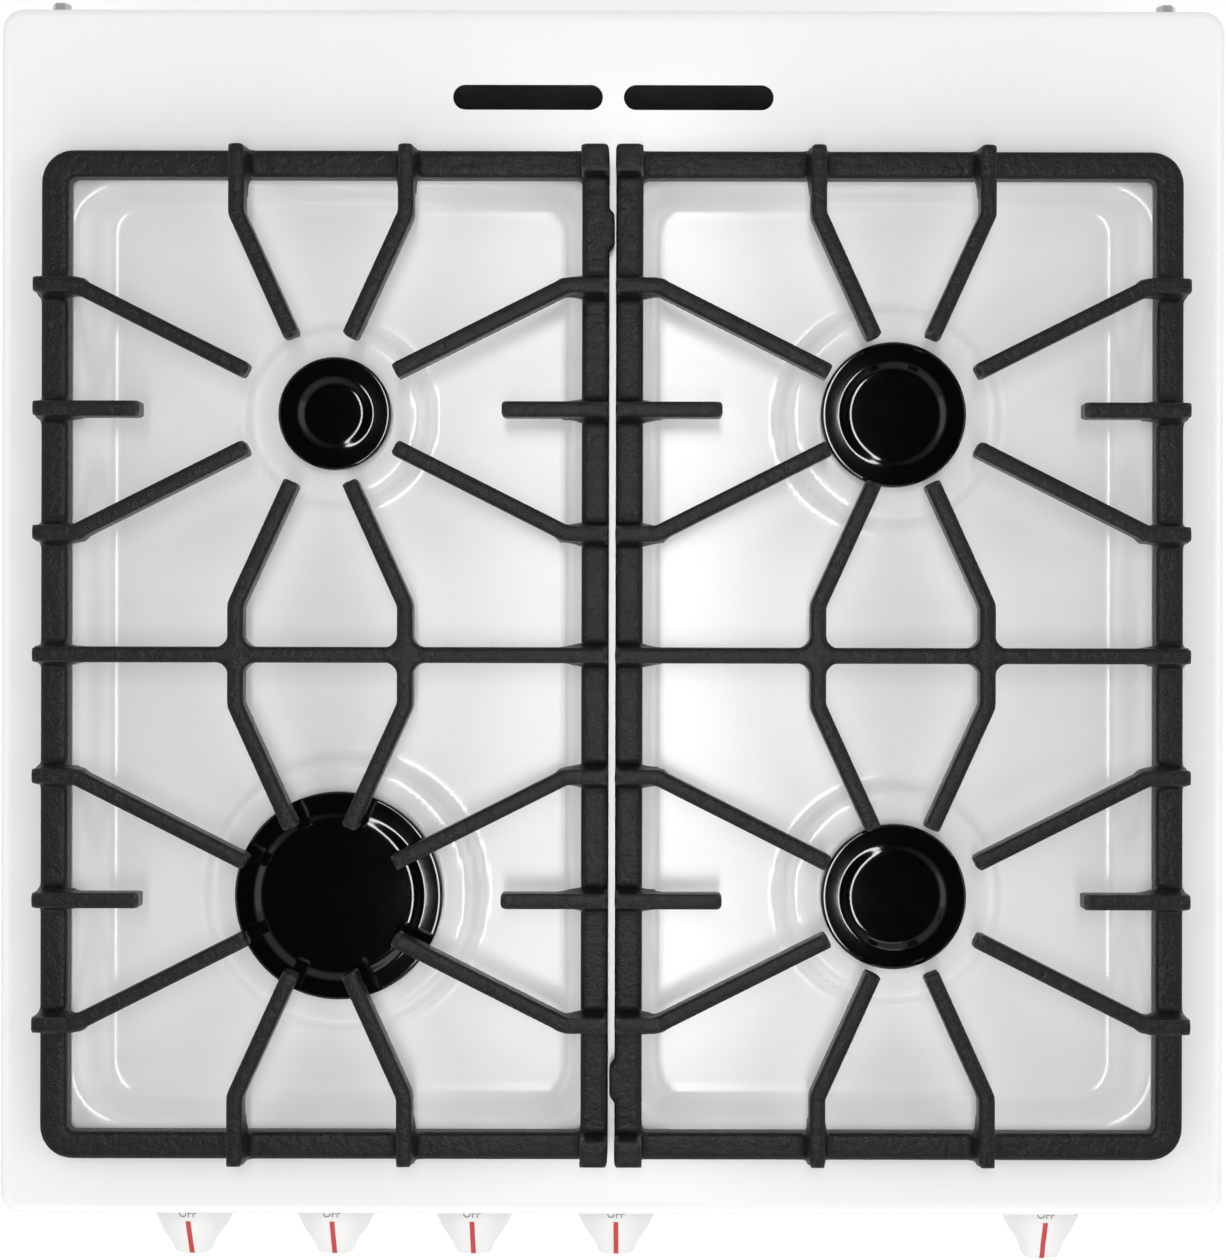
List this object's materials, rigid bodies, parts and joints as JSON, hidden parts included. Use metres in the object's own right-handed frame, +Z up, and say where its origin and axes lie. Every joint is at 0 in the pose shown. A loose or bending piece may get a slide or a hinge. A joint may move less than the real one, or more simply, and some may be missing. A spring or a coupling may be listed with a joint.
{
  "type": "freestanding gas range",
  "caption": "White freestanding gas range with cast-iron grates, sealed burners, pointer knobs, an oven with wire racks behind a windowed drop-down door, and a storage drawer.",
  "frame": {"origin": "on the floor, under the middle of the range's overall box", "axes": "+X to the right seen from the front, +Y to the back (the front faces -Y), +Z up"},
  "size_m": [0.61, 0.6455, 0.947],
  "materials": {
    "porcelain_white": "glossy porcelain enamel",
    "porcelain_panel": "glossy enamel",
    "galvanised_steel": "zinc coated",
    "oven_enamel": "speckled enamel",
    "drawer_grey": "satin",
    "cast_iron": "matte porcelain on cast iron",
    "grate_rubber": "matte",
    "cap_enamel": "glossy black enamel",
    "burner_aluminium": "die cast",
    "brass": "machined",
    "knob_plastic": "satin gloss",
    "handle_plastic": "satin gloss",
    "window_glass": "dark tinted",
    "rack_chrome": "plated wire",
    "gas_steel": "drawn tube",
    "igniter_ceramic": "glazed",
    "spark_plastic": "moulded",
    "screw_steel": "zinc coated",
    "leg_plastic": "moulded",
    "blanket_fibre": "glass fibre",
    "gasket_fibre": "woven glass fibre"
  },
  "bodies": {
    "body": {"leveling_legs": "leg_plastic", "base_frame": "galvanised_steel", "side_panel_left": "porcelain_panel", "side_panel_right": "porcelain_panel", "back_panel": "galvanised_steel", "control_panel": "porcelain_panel", "oven_wrapper": "oven_enamel", "oven_back_wall": "oven_enamel", "oven_floor_panel": "oven_enamel", "oven_front_frame": "galvanised_steel", "door_gasket": "gasket_fibre", "oven_insulation": "blanket_fibre", "vent_duct": "galvanised_steel", "oven_tube_burner": "gas_steel", "door_hinge_brackets": "galvanised_steel", "drawer_rails": "galvanised_steel", "maintop": "porcelain_white", "rear_screws": "screw_steel", "burner_head_left_rear": "burner_aluminium", "burner_head_left_front": "burner_aluminium", "burner_head_right_rear": "burner_aluminium", "burner_head_right_front": "burner_aluminium", "burner_bases": "burner_aluminium", "igniters": "igniter_ceramic", "spark_module": "spark_plastic", "manifold_pipe": "gas_steel", "pressure_regulator": "burner_aluminium", "burner_valves": "brass", "oven_thermostat": "burner_aluminium", "supply_tubes": "gas_steel"},
    "door": {"door_outer_panel": "porcelain_panel", "door_inner_liner": "oven_enamel", "door_outer_glass": "window_glass", "door_inner_glass": "window_glass", "door_handle_bar": "handle_plastic", "door_handle_mounts": "handle_plastic", "door_hinge_plates": "galvanised_steel"},
    "drawer": {"drawer_front": "porcelain_panel", "drawer_tray": "drawer_grey"},
    "rack_lower": {"oven_rack_lower": "rack_chrome"},
    "rack_upper": {"oven_rack_upper": "rack_chrome"},
    "left_grate": {"grate_left": "cast_iron", "grate_feet_left": "grate_rubber"},
    "right_grate": {"grate_right": "cast_iron", "grate_feet_right": "grate_rubber"},
    "cap_left_rear": {"burner_cap_left_rear": "cap_enamel"},
    "cap_left_front": {"burner_cap_left_front": "cap_enamel"},
    "cap_right_rear": {"burner_cap_right_rear": "cap_enamel"},
    "cap_right_front": {"burner_cap_right_front": "cap_enamel"},
    "stem_left_front": {"valve_stem_left_front": "brass"},
    "knob_left_front": {"knob_left_front": "knob_plastic"},
    "stem_left_rear": {"valve_stem_left_rear": "brass"},
    "knob_left_rear": {"knob_left_rear": "knob_plastic"},
    "stem_right_rear": {"valve_stem_right_rear": "brass"},
    "knob_right_rear": {"knob_right_rear": "knob_plastic"},
    "stem_right_front": {"valve_stem_right_front": "brass"},
    "knob_right_front": {"knob_right_front": "knob_plastic"},
    "stem_oven": {"valve_stem_oven": "brass"},
    "knob_oven": {"knob_oven": "knob_plastic"}
  },
  "joints": [
    {"name": "door_hinge", "type": "hinge", "parent": "body", "child": "door", "pos_m": [0, -0.26575, 0.22012], "axis": [1, 0, 0], "range_deg": [0, 88], "stiffness_Nm_per_rad": 16, "springref_deg": -20.05},
    {"name": "drawer_slide", "type": "slide", "parent": "body", "child": "drawer", "axis": [0, -1, 0], "range_m": [0, 0.35]},
    {"name": "rack_lower_slide", "type": "slide", "parent": "body", "child": "rack_lower", "axis": [0, -1, 0], "range_m": [0, 0.0485]},
    {"name": "rack_upper_slide", "type": "slide", "parent": "body", "child": "rack_upper", "axis": [0, -1, 0], "range_m": [0, 0.0485]},
    {"name": "grate_left_lift", "type": "slide", "parent": "body", "child": "left_grate", "axis": [0, 0, 1], "range_m": [0, 0.15]},
    {"name": "grate_right_lift", "type": "slide", "parent": "body", "child": "right_grate", "axis": [0, 0, 1], "range_m": [0, 0.15]},
    {"name": "cap_left_rear_lift", "type": "slide", "parent": "body", "child": "cap_left_rear", "axis": [0, 0, 1], "range_m": [0, 0.01]},
    {"name": "cap_left_front_lift", "type": "slide", "parent": "body", "child": "cap_left_front", "axis": [0, 0, 1], "range_m": [0, 0.01]},
    {"name": "cap_right_rear_lift", "type": "slide", "parent": "body", "child": "cap_right_rear", "axis": [0, 0, 1], "range_m": [0, 0.01]},
    {"name": "cap_right_front_lift", "type": "slide", "parent": "body", "child": "cap_right_front", "axis": [0, 0, 1], "range_m": [0, 0.01]},
    {"name": "knob_left_front_turn", "type": "hinge", "parent": "body", "child": "stem_left_front", "pos_m": [-0.218, -0.28375, 0.854], "axis": [0, -1, 0], "range_deg": [0, 220]},
    {"name": "knob_left_front_push", "type": "slide", "parent": "stem_left_front", "child": "knob_left_front", "axis": [0, 1, 0], "range_m": [0, 0.003], "stiffness_N_per_m": 800, "springref_m": -0.002},
    {"name": "knob_left_rear_turn", "type": "hinge", "parent": "body", "child": "stem_left_rear", "pos_m": [-0.144, -0.28375, 0.854], "axis": [0, -1, 0], "range_deg": [0, 220]},
    {"name": "knob_left_rear_push", "type": "slide", "parent": "stem_left_rear", "child": "knob_left_rear", "axis": [0, 1, 0], "range_m": [0, 0.003], "stiffness_N_per_m": 800, "springref_m": -0.002},
    {"name": "knob_right_rear_turn", "type": "hinge", "parent": "body", "child": "stem_right_rear", "pos_m": [-0.072, -0.28375, 0.854], "axis": [0, -1, 0], "range_deg": [0, 220]},
    {"name": "knob_right_rear_push", "type": "slide", "parent": "stem_right_rear", "child": "knob_right_rear", "axis": [0, 1, 0], "range_m": [0, 0.003], "stiffness_N_per_m": 800, "springref_m": -0.002},
    {"name": "knob_right_front_turn", "type": "hinge", "parent": "body", "child": "stem_right_front", "pos_m": [0.002, -0.28375, 0.854], "axis": [0, -1, 0], "range_deg": [0, 220]},
    {"name": "knob_right_front_push", "type": "slide", "parent": "stem_right_front", "child": "knob_right_front", "axis": [0, 1, 0], "range_m": [0, 0.003], "stiffness_N_per_m": 800, "springref_m": -0.002},
    {"name": "knob_oven_turn", "type": "hinge", "parent": "body", "child": "stem_oven", "pos_m": [0.223, -0.28375, 0.854], "axis": [0, -1, 0], "range_deg": [0, 300]},
    {"name": "knob_oven_push", "type": "slide", "parent": "stem_oven", "child": "knob_oven", "axis": [0, 1, 0], "range_m": [0, 0.003], "stiffness_N_per_m": 800, "springref_m": -0.002}
  ]
}
